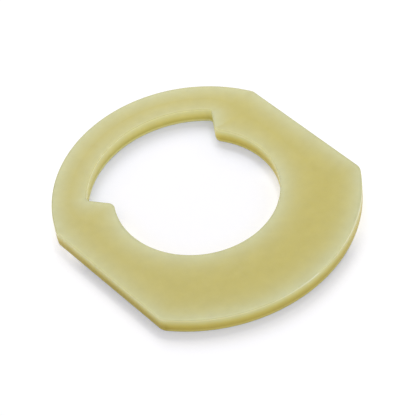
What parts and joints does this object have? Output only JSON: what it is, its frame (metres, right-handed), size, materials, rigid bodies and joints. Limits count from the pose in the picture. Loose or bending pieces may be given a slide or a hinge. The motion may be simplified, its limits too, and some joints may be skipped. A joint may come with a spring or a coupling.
{
  "type": "shift lever spacer",
  "caption": "Flat moulded spacer plate with a round rim cut by parallel flats, and a round tube seat that opens into a wider stepped window.",
  "frame": {"origin": "on the axis of the round tube seat, at the lower face, which the plate rests on", "axes": "+Z along the tube's axis to the upper face; +X and -X square to the two flats; +Y towards the hole's window and the narrow side of the rim"},
  "size_m": [0.0512, 0.0596, 0.0032],
  "materials": {
    "nylon": "natural nylon aged to a warm ivory yellow, slightly translucent, smooth satin sheen"
  },
  "bodies": {
    "root": {"spacer": "nylon"}
  },
  "joints": []
}
